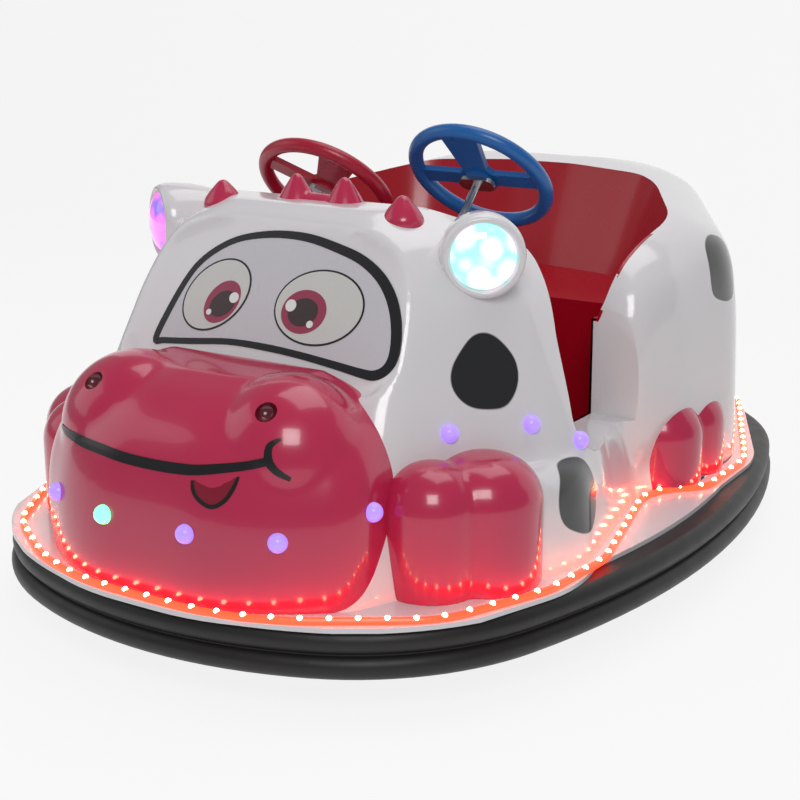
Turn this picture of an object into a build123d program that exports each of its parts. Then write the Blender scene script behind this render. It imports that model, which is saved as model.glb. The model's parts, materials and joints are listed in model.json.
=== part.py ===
"""Two-seat battery bumper car with an animal-head body, in millimetres.

The front of the car faces -Y, +Z is up, and the origin is on the floor at the
middle of the car. Left and right are the driver's own, so left is +X.
"""
import os
from math import asin, cos, degrees, radians, sin, sqrt

from build123d import *

os.makedirs("parts", exist_ok=True)

SIDES = (("left", 1), ("right", -1))

# ---- driving sizes ---------------------------------------------------------
# plan of the car: an oval of end, corner and side arcs
car_length = 1650
car_width = 1200
end_radius = 700
corner_radius = 430
side_radius = 1550

# rubber bumper and the steel band that it is fixed to
bumper_bottom = 60
bumper_height = 76
bumper_depth = 62
lobe_height = 36
groove_depth = 14
band_thickness = 5

# welded chassis of square tube
tube = 40
rail_centre_x = 220
chassis_bottom = 84
front_cross_y = -730
pedal_cross_y = -318
seat_cross_y = 96
rear_cross_y = 620

# moulded body
skin = 6
wall = 26
deck_thickness = 8
deck_overlap = 12
deck_lip = 14

# cockpit, measured to the inside of the tub
well_front_y = -335
well_front_half = 335
cabin_half = 375
seat_front_y = 98
seat_height = 450
seat_rise = 38
seat_back_y = 400
rim_back_y = 465
well_roof_height = 372

# head
face_lean = 28
face_foot_y = -544
face_foot_height = 464
head_top = 680

# steering
wheel_pitch_x = 150
column_tilt = 45
column_radius = 7
column_bush_radius = 16
dash_bush_y = -196
wheel_outer_radius = 134
grip_radius = 13
hub_y = {"left": -60, "right": -97}
hub_level_sum = 758
bush_clearance = 0.05

# driven front wheel on its turntable
pivot_y = -520
drive_tyre_radius = 110
drive_tyre_width = 50
fork_gap = 9
fork_plate = 8
motor_radius = 42
motor_length = 105
bridge_height = 250
spindle_radius = 15

# rear wheels on a fixed axle
rear_axle_y = 420
rear_tyre_radius = 100
rear_tyre_width = 50
rear_wheel_x = 360
axle_radius = 10

# lamps
pod_x = 324
pod_y = -358
pod_height = 619
pod_turn = 35
pod_radius = 75
lens_radius = 52
dome_radius = 15
strip_radius = 5

# levels that follow from the sizes
bumper_top = bumper_bottom + bumper_height
chassis_top = chassis_bottom + tube
floor_level = chassis_top + skin
deck_top = bumper_top + deck_thickness
band_inset = bumper_depth + band_thickness


column_up = Vector(0, cos(radians(column_tilt)), sin(radians(column_tilt)))


def face_y(level):
    """Y of the leaning face at a level."""
    return face_foot_y + (level - face_foot_height) * sin(radians(face_lean)) / cos(radians(face_lean))


def oval(inset):
    """Plan oval of the car, moved in by inset on every side."""
    end_centre = Vector(0, end_radius - car_length / 2)
    side_centre = Vector(car_width / 2 - side_radius, 0)
    between = side_centre - end_centre
    from_end = end_radius - corner_radius
    from_side = side_radius - corner_radius
    along = (from_end**2 - from_side**2 + between.length**2) / (2 * between.length)
    across = sqrt(from_end**2 - along**2)
    unit = between.normalized()
    corner = end_centre + unit * along + Vector(-unit.Y, unit.X) * across
    if corner.X < 0:
        corner = end_centre + unit * along - Vector(-unit.Y, unit.X) * across
    to_end = end_centre + (corner - end_centre).normalized() * (end_radius - inset)
    to_side = side_centre + (corner - side_centre).normalized() * (side_radius - inset)
    middle = corner + ((to_end - corner) + (to_side - corner)).normalized() * (corner_radius - inset)
    nose = Vector(0, inset - car_length / 2)
    flank = Vector(car_width / 2 - inset, 0)
    with BuildSketch() as plan:
        with BuildLine():
            ThreePointArc((-to_end.X, to_end.Y), nose, to_end)
            ThreePointArc(to_end, middle, to_side)
            ThreePointArc(to_side, flank, (to_side.X, -to_side.Y))
            ThreePointArc((to_side.X, -to_side.Y), (middle.X, -middle.Y), (to_end.X, -to_end.Y))
            ThreePointArc((to_end.X, -to_end.Y), (0, -nose.Y), (-to_end.X, -to_end.Y))
            ThreePointArc((-to_end.X, -to_end.Y), (-middle.X, -middle.Y), (-to_side.X, -to_side.Y))
            ThreePointArc((-to_side.X, -to_side.Y), (-flank.X, 0), (-to_side.X, to_side.Y))
            ThreePointArc((-to_side.X, to_side.Y), (-middle.X, middle.Y), (-to_end.X, to_end.Y))
        make_face()
    return plan.sketch


def rounded(half_corners):
    """Outline symmetric about Y from (x, y, radius) corners of its +X side, front to back."""
    mirrored = [(-x, y, r) for x, y, r in reversed(half_corners)]
    corners = list(half_corners) + mirrored
    with BuildSketch() as plan:
        with BuildLine():
            FilletPolyline([(x, y) for x, y, r in corners], radius=[r for x, y, r in corners], close=True)
        make_face()
    return plan.sketch


# ---- bumper ----------------------------------------------------------------
# Hollow-section rubber bumper with two lobes and a groove between them.
bumper_face_y = -car_length / 2
groove_level = bumper_bottom + bumper_height / 2
with BuildPart() as rubber_bumper:
    with BuildLine(Plane.XY.offset(bumper_bottom)) as bumper_path:
        add(oval(bumper_depth).wire())
    with BuildSketch(Plane.YZ) as lobes:
        inner_y = bumper_face_y + bumper_depth
        with BuildLine():
            Polyline(
                (bumper_face_y + 14, bumper_bottom),
                (inner_y, bumper_bottom),
                (inner_y, bumper_top),
                (bumper_face_y + 22, bumper_top),
            )
            ThreePointArc(
                (bumper_face_y + 22, bumper_top),
                (bumper_face_y + 4, bumper_top - lobe_height / 2),
                (bumper_face_y + groove_depth, groove_level + 1),
            )
            Line((bumper_face_y + groove_depth, groove_level + 1), (bumper_face_y + groove_depth, groove_level - 1))
            ThreePointArc(
                (bumper_face_y + groove_depth, groove_level - 1),
                (bumper_face_y, bumper_bottom + lobe_height / 2),
                (bumper_face_y + 14, bumper_bottom),
            )
        make_face()
    sweep(path=bumper_path.wire())
rubber_bumper.part.label = "rubber_bumper"
export_step(rubber_bumper.part, "parts/rubber_bumper.step")

# Steel band bent to the oval, that the rubber is bolted to.
with BuildPart() as bumper_band:
    with BuildSketch(Plane.XY.offset(bumper_bottom + 6)):
        add(oval(bumper_depth))
        add(oval(band_inset), mode=Mode.SUBTRACT)
    extrude(amount=bumper_height - 6)
bumper_band.part.label = "bumper_band"
export_step(bumper_band.part, "parts/bumper_band.step")

# ---- chassis ---------------------------------------------------------------
with BuildPart() as chassis_frame:
    with BuildSketch(Plane.XY.offset(chassis_bottom)):
        with Locations(*[(0, y) for y in (front_cross_y, pedal_cross_y, seat_cross_y, rear_cross_y)]):
            Rectangle(car_width, tube)
        with Locations((rail_centre_x, 0), (-rail_centre_x, 0)):
            Rectangle(tube, car_length)
        add(oval(band_inset), mode=Mode.INTERSECT)
    extrude(amount=tube)
    with BuildSketch(Plane.YZ):
        with Locations((rear_axle_y, rear_tyre_radius)):
            Circle(axle_radius)
    extrude(amount=rail_centre_x + tube, both=True, mode=Mode.SUBTRACT)
chassis_frame.part.label = "chassis_frame"
export_step(chassis_frame.part, "parts/chassis_frame.step")

# ---- body forms ------------------------------------------------------------
# Line of the light strip round the body's foot: x, y and corner radius, front to back.
body_foot = (
    (178, -813, 420),
    (430, -655, 150),
    (518, -420, 240),
    (442, 25, 120),
    (528, 112, 60),
    (528, 330, 260),
    (342, 756, 215),
)
# Sill between the front and rear feet, with its ends inside the head and the tail.
sill_corners = (
    (320, -575, 40),
    (497, -405, 90),
    (430, 25, 120),
    (500, 110, 50),
    (470, 200, 20),
)
sill_levels = ((deck_top, 0), (205, 16), (300, 30))  # level, how far the sill is in from its foot

with BuildPart() as sill_form:
    for level, inset in sill_levels:
        with BuildSketch(Plane.XY.offset(level)):
            add(rounded([(x - inset, y, r) for x, y, r in sill_corners]))
    loft()

# Head: level, half width of the face, half width at the cheek, y of the cheek, crown's set-back.
head_levels = (
    (deck_top, 285, 428, -440, 0),
    (300, 282, 424, -430, 0),
    (face_foot_height, 272, 405, -405, 0),
    (575, 252, 356, -366, 0),
    (636, 212, 284, -350, 2),
    (668, 184, 252, -340, 14),
    (head_top, 150, 220, -326, 40),
)
head_back_y = -150


def head_outline(level, face_half, cheek_half, cheek_y, set_back, inset):
    return rounded(
        (
            (face_half - inset, face_y(level) + set_back + inset, 70),
            (cheek_half - inset, cheek_y, 110),
            (cheek_half - inset, head_back_y, 0),
        )
    )


with BuildPart() as head_form:
    for section in head_levels:
        with BuildSketch(Plane.XY.offset(section[0])):
            add(head_outline(*section, 0))
    loft()

# Tail: height at y = 0, tilt, y of the wing's front, half widths of flank and rear, y of the rear.
tail_sections = (
    (deck_top, 0, -30, 508, 335, 744),
    (290, 4, -42, 503, 328, 718),
    (420, 9, -40, 503, 312, 690),
    (492, 13, -14, 484, 284, 660),
    (540, 15, 44, 430, 232, 605),
)
with BuildPart() as tail_form:
    for height, tilt, front, flank_half, rear_half, rear in tail_sections:
        section_plane = Plane((0, 0, height), x_dir=(1, 0, 0), z_dir=(0, -sin(radians(tilt)), cos(radians(tilt))))
        with BuildSketch(section_plane):
            add(
                rounded(
                    (
                        (flank_half - 58, front, 56),
                        (flank_half, rear - 320, 250),
                        (rear_half, rear, 210),
                    )
                )
            )
    loft()


# Face panel, sunk into the leaning face; its plane's Y runs up the face from the foot of the panel.
panel_depth = 20
face_plane = Plane(
    (0, face_foot_y, face_foot_height),
    x_dir=(1, 0, 0),
    z_dir=(0, -cos(radians(face_lean)), sin(radians(face_lean))),
)


def face_panel(grow):
    """Arched outline of the face panel, moved out by grow."""
    with BuildSketch() as panel:
        with BuildLine():
            FilletPolyline(
                (-222, -12), (222, -12), (262, 92), (186, 178), (80, 208), (-80, 208), (-186, 178), (-262, 92),
                radius=[26, 26, 60, 80, 160, 160, 80, 60],
                close=True,
            )
        make_face()
        if grow:
            offset(amount=grow, mode=Mode.REPLACE)
    return panel.sketch


def cockpit(grow):
    """Inside of the tub, moved out by grow: side profile across the car, met with its plan."""
    with BuildPart() as space:
        with BuildSketch(Plane.YZ) as profile:
            with BuildLine():
                FilletPolyline(
                    (well_front_y, floor_level),
                    (seat_front_y, floor_level),
                    (seat_front_y + 8, seat_height),
                    (seat_back_y, seat_height + seat_rise),
                    (rim_back_y, head_top),
                    (rim_back_y + 40, 900),
                    (-120, 900),
                    (-120, 460),
                    (well_front_y + 110, 455),
                    (well_front_y, well_roof_height),
                    radius=[25, 25, 22, 60, 0, 0, 0, 0, 20, 40],
                    close=True,
                )
            make_face()
            if grow:
                offset(amount=grow, mode=Mode.REPLACE)
        extrude(amount=car_width / 2, both=True)
        with BuildSketch(Plane.XY) as plan:
            add(
                rounded(
                    (
                        (well_front_half, well_front_y, 60),
                        (cabin_half, -60, 200),
                        (cabin_half, 250, 170),
                        (210, rim_back_y + 10, 190),
                    )
                )
            )
            if grow:
                offset(amount=grow, mode=Mode.REPLACE)
        extrude(amount=1000, mode=Mode.INTERSECT)
    return space.part


tub_inside = cockpit(0)
tub_outside = cockpit(skin)


# Opening over the sill and behind the dash, as a side profile that goes right across.
with BuildPart() as entry_cut:
    with BuildSketch(Plane.YZ):
        with BuildLine():
            FilletPolyline(
                (-322, 900),
                (-322, 684),
                (-180, 604),
                (-232, 480),
                (-282, 292),
                (-20, 292),
                (-20, 900),
                radius=[0, 0, 26, 120, 55, 0, 0],
                close=True,
            )
        make_face()
    extrude(amount=car_width, both=True)

# Room under the body for the drive unit, columns and rear wheels.
with BuildPart() as front_bay:
    for section in head_levels[:-2]:
        with BuildSketch(Plane.XY.offset(section[0] if section[0] > deck_top else 0)):
            add(head_outline(*section, wall))
    loft()
    with BuildSketch(Plane.YZ):
        with BuildLine():
            Polyline(
                (-800, 0),
                (well_front_y - skin, 0),
                (well_front_y - skin, well_roof_height + 14),
                (-245, 482),
                (-212, 560),
                (-310, head_levels[-3][0]),
                (-800, head_levels[-3][0]),
                close=True,
            )
        make_face()
    extrude(amount=car_width, both=True, mode=Mode.INTERSECT)

with BuildPart() as rear_bay:
    with BuildSketch(Plane.XY):
        add(rounded(((cabin_half + 20, -20, 40), (cabin_half + 85, 340, 200), (310, 690, 160))))
    extrude(amount=410)
    with BuildSketch(Plane.XY):
        add(rounded(((well_front_half, well_front_y, 60), (cabin_half, -60, 200), (cabin_half, 60, 10))))
    extrude(amount=floor_level)

# ---- deck and body shells --------------------------------------------------
with BuildPart() as body_deck:
    with BuildSketch(Plane.XY.offset(bumper_top)):
        add(rounded(body_foot))
        offset(amount=deck_lip, mode=Mode.REPLACE)
        add(oval(bumper_depth - deck_overlap))
        add(oval(4), mode=Mode.INTERSECT)
        with BuildSketch(mode=Mode.PRIVATE) as hole:
            add(rounded(body_foot))
            offset(amount=-wall, mode=Mode.REPLACE)
        add(hole.sketch, mode=Mode.SUBTRACT)
    extrude(amount=deck_thickness)
body_deck.part.label = "body_deck"
export_step(body_deck.part, "parts/body_deck.step")

split_y = -140
with BuildPart() as body_shell:
    add(sill_form.part)
    add(head_form.part)
    with BuildSketch(face_plane.offset(wall)):
        add(face_panel(28))
    extrude(amount=-wall - panel_depth, mode=Mode.SUBTRACT)
    add(tail_form.part)
    add(entry_cut.part, mode=Mode.SUBTRACT)
    add(tub_outside, mode=Mode.SUBTRACT)
    add(front_bay.part, mode=Mode.SUBTRACT)
    add(rear_bay.part, mode=Mode.SUBTRACT)
    for name, side in SIDES:
        along = Plane((side * wheel_pitch_x, dash_bush_y, dash_bush_y + hub_level_sum), x_dir=(1, 0, 0), z_dir=column_up)
        with BuildSketch(along):
            Circle(column_bush_radius)
        extrude(amount=90, both=True, mode=Mode.SUBTRACT)
print("body", body_shell.part.is_valid, len(body_shell.solids()), body_shell.part.volume)
body_shell.part.label = "body_shell"
export_step(body_shell.part, "parts/body_shell.step")

with BuildPart() as tub_reach:
    with BuildSketch(Plane.XY.offset(chassis_top)):
        with Locations((0, well_front_y)):
            Rectangle(car_width, 2 * (seat_front_y - well_front_y) + 40)
    extrude(amount=tail_sections[2][0] - chassis_top)
    add(tail_form.part)
with BuildPart() as cockpit_tub:
    add(tub_outside)
    add(tub_inside, mode=Mode.SUBTRACT)
    add(entry_cut.part, mode=Mode.SUBTRACT)
    add(tub_reach.part, mode=Mode.INTERSECT)
print("tub", cockpit_tub.part.is_valid, len(cockpit_tub.solids()), [s.volume for s in cockpit_tub.solids()])
cockpit_tub.part.label = "cockpit_tub"
export_step(cockpit_tub.part, "parts/cockpit_tub.step")

# ---- muzzle ----------------------------------------------------------------
muzzle_levels = ((deck_top, 0), (300, 10), (468, 34))  # level, how far the muzzle is in from its foot
muzzle_corners = ((150, -803, 300), (322, -690, 105), (306, -545, 0))
nostril_x = 172
nostril_y = -716
nostril_height = 432
nostril_mound = 78
nostril_pit = 20

with BuildPart() as muzzle_form:
    for level, inset in muzzle_levels:
        with BuildSketch(Plane.XY.offset(level)):
            add(rounded([(x - inset, y + inset, r) for x, y, r in muzzle_corners]))
    loft()
    top = muzzle_form.faces().sort_by(Axis.Z)[-1]
    fillet(top.edges().sort_by(Axis.Y)[:-1], 88)
    with Locations(*[(side * nostril_x, nostril_y + 22, nostril_height - 42) for name, side in SIDES]):
        Sphere(nostril_mound)
print("muzzle form", muzzle_form.part.is_valid, muzzle_form.part.volume)

with BuildPart() as muzzle:
    add(muzzle_form.part)
    add(head_form.part, mode=Mode.SUBTRACT)
    add(sill_form.part, mode=Mode.SUBTRACT)
    with BuildSketch(Plane.XY):
        add(rounded([(x - wall, y + wall, r - wall if r else 0) for x, y, r in muzzle_corners]))
    extrude(amount=360, mode=Mode.SUBTRACT)
    with Locations(*[(side * nostril_x, nostril_y - 6, nostril_height + 14) for name, side in SIDES]):
        Sphere(nostril_pit, mode=Mode.SUBTRACT)
print("muzzle", muzzle.part.is_valid, len(muzzle.solids()), muzzle.part.volume)
muzzle.part.label = "muzzle"
export_step(muzzle.part, "parts/muzzle.step")

# ---- feet ------------------------------------------------------------------
# Two round toes a foot: x, y, radius; one height for the foot's crown.
front_toes = ((340, -537, 80), (396, -488, 86))
rear_toes = ((430, 118, 76), (428, 222, 80))
front_toe_top = 358
rear_toe_top = 304
toe_crown = 66
hooves = {}
for where, toes, top_level in (("front", front_toes, front_toe_top), ("rear", rear_toes, rear_toe_top)):
    for name, side in SIDES:
        with BuildPart() as hoof:
            for x, y, r in toes:
                with BuildPart(mode=Mode.PRIVATE) as toe:
                    with BuildSketch(Plane.XY.offset(deck_top)):
                        with Locations((side * x, y)):
                            Circle(r)
                    extrude(amount=top_level - deck_top, taper=2)
                    fillet(toe.edges().sort_by(Axis.Z)[-1], toe_crown)
                add(toe.part)
            for form in (muzzle_form.part, head_form.part, sill_form.part, tail_form.part):
                add(form, mode=Mode.SUBTRACT)
        hoof.part.label = f"hoof_{where}_{name}"
        hooves[where, name] = hoof.part
        print(hoof.part.label, hoof.part.is_valid, [round(s.volume) for s in hoof.solids()])
        export_step(hoof.part, f"parts/{hoof.part.label}.step")


# ---- crest -----------------------------------------------------------------
# Four blunt spikes along the crown: x, y, tip height. The inner two share a low ridge.
spikes = ((179, -361, 705), (48, -330, 721))
spike_base = 36
spike_tip = 7
spike_foot = 668
ridge_radius = 24
with BuildPart() as head_crest:
    for x, y, tip in spikes:
        for name, side in SIDES:
            with BuildSketch(Plane((side * x, y, 0), x_dir=(1, 0, 0), z_dir=(0, -1, 0))):
                with BuildLine():
                    Polyline((0, tip), (0, head_top - 50), (spike_base, head_top - 50), (spike_base, spike_foot))
                    ThreePointArc(
                        (spike_base, spike_foot),
                        (0.45 * spike_base, spike_foot + 0.5 * (tip - spike_foot)),
                        (spike_tip, tip - spike_tip),
                    )
                    ThreePointArc(
                        (spike_tip, tip - spike_tip),
                        (spike_tip * sin(radians(45)), tip - spike_tip * (1 - cos(radians(45)))),
                        (0, tip),
                    )
                make_face()
            revolve(axis=Axis((side * x, y, 0), (0, 0, 1)))
    with BuildSketch(Plane.YZ):
        with Locations((spikes[1][1], head_top - 10)):
            Circle(ridge_radius)
    extrude(amount=spikes[1][0], both=True)
    add(head_form.part, mode=Mode.SUBTRACT)
print("crest", head_crest.part.is_valid, [round(v.volume) for v in head_crest.solids()])
head_crest.part.label = "head_crest"
export_step(head_crest.part, "parts/head_crest.step")

# ---- lamps -----------------------------------------------------------------
# Round pods that stand out of the head's upper corners, each with a domed lens in its mouth.
pod_length = 150
lens_depth = 14
lens_dome = 16
lens_flange = 4
dome_curve = (lens_radius**2 + lens_dome**2) / (2 * lens_dome)
dome_spread = degrees(asin(lens_radius / dome_curve))
for name, side in SIDES:
    look = Vector(side * sin(radians(pod_turn)), -cos(radians(pod_turn)), 0)
    pod_plane = Plane((side * pod_x, pod_y, pod_height), x_dir=(0, 0, 1), z_dir=look)
    with BuildPart() as lamp_pod:
        with BuildSketch(Plane(pod_plane.origin, x_dir=pod_plane.x_dir, z_dir=pod_plane.y_dir)):
            with BuildLine():
                Line((0, pod_length), (0, lens_depth))
                Line((0, lens_depth), (lens_radius, lens_depth))
                Line((lens_radius, lens_depth), (lens_radius + 3, -4))
                ThreePointArc(
                    (lens_radius + 3, -4), (pod_radius - 7, -3), (pod_radius, 16)
                )
                ThreePointArc(
                    (pod_radius, 16), (pod_radius - 12, pod_length - 62), (0, pod_length)
                )
            make_face()
        revolve(axis=Axis(pod_plane.origin, pod_plane.z_dir))
        add(head_form.part, mode=Mode.SUBTRACT)
    print("pod", lamp_pod.part.is_valid, [round(v.volume) for v in lamp_pod.solids()], lamp_pod.part.bounding_box())
    lamp_pod.part.label = f"lamp_pod_{name}"
    export_step(lamp_pod.part, f"parts/{lamp_pod.part.label}.step")
    with BuildPart() as lamp_lens:
        with BuildSketch(Plane(pod_plane.origin, x_dir=pod_plane.x_dir, z_dir=pod_plane.y_dir)):
            with BuildLine():
                Line((0, lens_depth), (lens_radius, lens_depth))
                Line((lens_radius, lens_depth), (lens_radius, lens_depth - lens_flange))
                CenterArc((0, lens_depth - lens_flange - lens_dome + dome_curve), dome_curve, -90, dome_spread)
                Line((0, lens_depth - lens_flange - lens_dome), (0, lens_depth))
            make_face()
        revolve(axis=Axis(pod_plane.origin, pod_plane.z_dir))
        add(head_form.part, mode=Mode.SUBTRACT)
    lamp_lens.part.label = f"lamp_lens_{name}"
    export_step(lamp_lens.part, f"parts/{lamp_lens.part.label}.step")

# ---- steering wheels and columns -------------------------------------------
# Plane of each wheel: its origin is the hub's middle and its normal looks at the driver.
spoke_thickness = 11
hub_radius = 26
hub_thickness = 22
flange_height = 8
column_foot_y = -462


def wheel_plane(name, side, turn):
    """Plane of a wheel, with its X turned in the wheel's own plane."""
    y = hub_y[name]
    across = Vector(1, 0, 0).rotate(Axis((0, 0, 0), column_up), turn)
    return Plane((side * wheel_pitch_x, y, y + hub_level_sum), x_dir=across, z_dir=column_up)


wheel_turn = {"left": 0, "right": 38}
grip_centre = wheel_outer_radius - grip_radius
for name, side in SIDES:
    plane = wheel_plane(name, side, wheel_turn[name])
    with BuildPart(plane) as steering_wheel:
        Torus(grip_centre, grip_radius)
        with BuildSketch(plane.offset(-spoke_thickness / 2)):
            with Locations((grip_centre / 2 + 6, 0), (-grip_centre / 2 - 6, 0)):
                Rectangle(grip_centre - 12, 30)
            with BuildLine():
                Polyline((-20, 0), (20, 0), (36, -grip_centre), (-36, -grip_centre), close=True)
            make_face()
            Circle(hub_radius + 8)
        extrude(amount=spoke_thickness)
        with BuildSketch(plane.offset(-hub_thickness / 2)):
            Circle(hub_radius)
        extrude(amount=hub_thickness)
    print("wheel", steering_wheel.part.is_valid, [round(v.volume) for v in steering_wheel.solids()])
    steering_wheel.part.label = f"steering_wheel_{name}"
    export_step(steering_wheel.part, f"parts/{steering_wheel.part.label}.step")

    # Steel column with an oval flange bolted under the hub.
    column_length = (hub_y[name] - column_foot_y) / cos(radians(column_tilt)) - hub_thickness / 2
    with BuildPart() as column:
        with BuildSketch(plane.offset(-hub_thickness / 2)):
            SlotOverall(2 * hub_radius + 16, 30)
        extrude(amount=-flange_height)
        with BuildSketch(plane.offset(-hub_thickness / 2)):
            Circle(column_radius)
        extrude(amount=-column_length)
    column.part.label = f"steering_column_{name}"
    export_step(column.part, f"parts/{column.part.label}.step")

# Plain bushes that carry each column: one through the dash, one on the bridge over the drive unit.
bush_length = 34
for name, side in SIDES:
    along = Plane((side * wheel_pitch_x, dash_bush_y, dash_bush_y + hub_level_sum), x_dir=(1, 0, 0), z_dir=column_up)
    with BuildPart() as column_bush:
        with BuildSketch(along):
            Circle(column_bush_radius)
            Circle(column_radius + bush_clearance, mode=Mode.SUBTRACT)
        extrude(amount=bush_length / 2, both=True)
    column_bush.part.label = f"column_bush_{name}"
    export_step(column_bush.part, f"parts/{column_bush.part.label}.step")

# ---- bridge over the drive unit --------------------------------------------
# Plate on four legs from the rails, with the turntable's hole and a foot for each column.
bridge_thickness = 8
bridge_length = 150
foot_size = 34
bearing_height = 8
running_gap = 0.3
with BuildPart() as front_bridge:
    with BuildSketch(Plane.XY.offset(bridge_height)):
        with Locations((0, pivot_y)):
            Rectangle(2 * rail_centre_x + tube, bridge_length)
    extrude(amount=bridge_thickness)
    with BuildSketch(Plane.XY.offset(chassis_top)):
        with Locations(*[(side * rail_centre_x, pivot_y + end * (bridge_length - 25) / 2) for n, side in SIDES for end in (-1, 1)]):
            Rectangle(25, 25)
    extrude(amount=bridge_height - chassis_top)
    for name, side in SIDES:
        foot_y = column_foot_y + 6
        along = Plane((side * wheel_pitch_x, foot_y, foot_y + hub_level_sum), x_dir=(1, 0, 0), z_dir=column_up)
        with BuildSketch(along):
            RectangleRounded(foot_size, foot_size, 5)
        extrude(amount=12, both=True)
        with BuildSketch(Plane.XY.offset(bridge_height)):
            with Locations((side * wheel_pitch_x, foot_y)):
                Rectangle(20, 20)
        extrude(amount=foot_y + hub_level_sum - bridge_height)
        with BuildSketch(along.offset(-60)):
            Circle(column_radius + bush_clearance)
        extrude(amount=200, mode=Mode.SUBTRACT)
    with BuildSketch(Plane.XY.offset(bridge_height)):
        with Locations((0, pivot_y)):
            Circle(spindle_radius + bush_clearance)
    extrude(amount=bridge_thickness, mode=Mode.SUBTRACT)
front_bridge.part.label = "front_bridge"
export_step(front_bridge.part, "parts/front_bridge.step")

with BuildPart() as turntable_bearing:
    with BuildSketch(Plane.XY.offset(bridge_height - bearing_height)):
        with Locations((0, pivot_y)):
            Circle(55)
            Circle(spindle_radius + bush_clearance, mode=Mode.SUBTRACT)
    extrude(amount=bearing_height)
turntable_bearing.part.label = "turntable_bearing"
export_step(turntable_bearing.part, "parts/turntable_bearing.step")

# ---- drive unit ------------------------------------------------------------
# Fork that turns all the way round on its spindle, with the driven wheel between its legs.
fork_top = bridge_height - bearing_height - running_gap
leg_x = drive_tyre_width / 2 + fork_gap + fork_plate / 2
drive_axle_radius = 9
hub_bore_clearance = 0.05
with BuildPart() as drive_fork:
    with BuildSketch(Plane.XY.offset(fork_top)):
        with Locations((0, pivot_y)):
            Circle(60)
    extrude(amount=-10)
    with BuildSketch(Plane.XY.offset(fork_top)):
        with Locations((0, pivot_y)):
            Circle(spindle_radius)
    extrude(amount=60)
    with BuildSketch(Plane.XY.offset(bridge_height + bridge_thickness + running_gap)):
        with Locations((0, pivot_y)):
            Circle(24)
    extrude(amount=14)
    for name, side in SIDES:
        with BuildSketch(Plane.YZ.offset(side * leg_x - fork_plate / 2)):
            with BuildLine():
                Polyline(
                    (pivot_y - 40, fork_top - 5),
                    (pivot_y + 40, fork_top - 5),
                    (pivot_y + 24, drive_tyre_radius),
                    (pivot_y - 24, drive_tyre_radius),
                    close=True,
                )
            make_face()
            with Locations((pivot_y, drive_tyre_radius)):
                Circle(24)
        extrude(amount=fork_plate)
    with BuildSketch(Plane.YZ):
        with Locations((pivot_y, drive_tyre_radius)):
            Circle(drive_axle_radius)
    extrude(amount=leg_x + 12, both=True)
drive_fork.part.label = "drive_fork"
export_step(drive_fork.part, "parts/drive_fork.step")

with BuildPart() as drive_motor:
    with BuildSketch(Plane.YZ.offset(-leg_x - fork_plate / 2)):
        with Locations((pivot_y, drive_tyre_radius)):
            Circle(motor_radius)
            Circle(drive_axle_radius, mode=Mode.SUBTRACT)
    extrude(amount=-motor_length)
    fillet(drive_motor.edges().sort_by(Axis.X)[0], 10)
drive_motor.part.label = "drive_motor"
export_step(drive_motor.part, "parts/drive_motor.step")


def tyre_and_rim(centre, tyre_radius, tyre_width, bore_radius, tyre_name, rim_name):
    """Solid rubber tyre with round shoulders on a dished rim; the axle lies along X."""
    x, y, z = centre
    rim_radius = tyre_radius - 34
    across = Plane(centre, x_dir=(1, 0, 0), z_dir=(0, 0, 1))
    axle = Axis(centre, (1, 0, 0))
    half = tyre_width / 2
    with BuildPart() as tyre:
        with BuildSketch(across):
            with BuildLine():
                Polyline((-half, tyre_radius - 12), (-half, rim_radius), (half, rim_radius), (half, tyre_radius - 12))
                ThreePointArc((half, tyre_radius - 12), (half - 3, tyre_radius - 3), (half - 12, tyre_radius))
                Line((half - 12, tyre_radius), (12 - half, tyre_radius))
                ThreePointArc((12 - half, tyre_radius), (3 - half, tyre_radius - 3), (-half, tyre_radius - 12))
            make_face()
        revolve(axis=axle)
    tyre.part.label = tyre_name
    export_step(tyre.part, f"parts/{tyre_name}.step")
    with BuildPart() as rim:
        with BuildSketch(across):
            with BuildLine():
                Polyline(
                    (-half, rim_radius),
                    (-half, rim_radius - 8),
                    (-half + 14, rim_radius - 12),
                    (-half + 14, bore_radius + 16),
                    (-half, bore_radius + 14),
                    (-half, bore_radius),
                    (half, bore_radius),
                    (half, bore_radius + 14),
                    (half - 14, bore_radius + 16),
                    (half - 14, rim_radius - 12),
                    (half, rim_radius - 8),
                    (half, rim_radius),
                    close=True,
                )
            make_face()
        revolve(axis=axle)
    rim.part.label = rim_name
    export_step(rim.part, f"parts/{rim_name}.step")


tyre_and_rim(
    (0, pivot_y, drive_tyre_radius),
    drive_tyre_radius,
    drive_tyre_width,
    drive_axle_radius + hub_bore_clearance,
    "drive_tyre",
    "drive_rim",
)

# ---- rear wheels -----------------------------------------------------------
collar = 6
with BuildPart() as rear_axle:
    with BuildSketch(Plane.YZ):
        with Locations((rear_axle_y, rear_tyre_radius)):
            Circle(axle_radius)
    extrude(amount=rear_wheel_x + rear_tyre_width / 2 + 10, both=True)
    for name, side in SIDES:
        for gap_side in (-1, 1):
            start = side * rear_wheel_x + gap_side * (rear_tyre_width / 2 + running_gap)
            with BuildSketch(Plane.YZ.offset(start)):
                with Locations((rear_axle_y, rear_tyre_radius)):
                    Circle(axle_radius + 7)
            extrude(amount=gap_side * collar)
rear_axle.part.label = "rear_axle"
export_step(rear_axle.part, "parts/rear_axle.step")
for name, side in SIDES:
    tyre_and_rim(
        (side * rear_wheel_x, rear_axle_y, rear_tyre_radius),
        rear_tyre_radius,
        rear_tyre_width,
        axle_radius + hub_bore_clearance,
        f"rear_tyre_{name}",
        f"rear_rim_{name}",
    )

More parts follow.
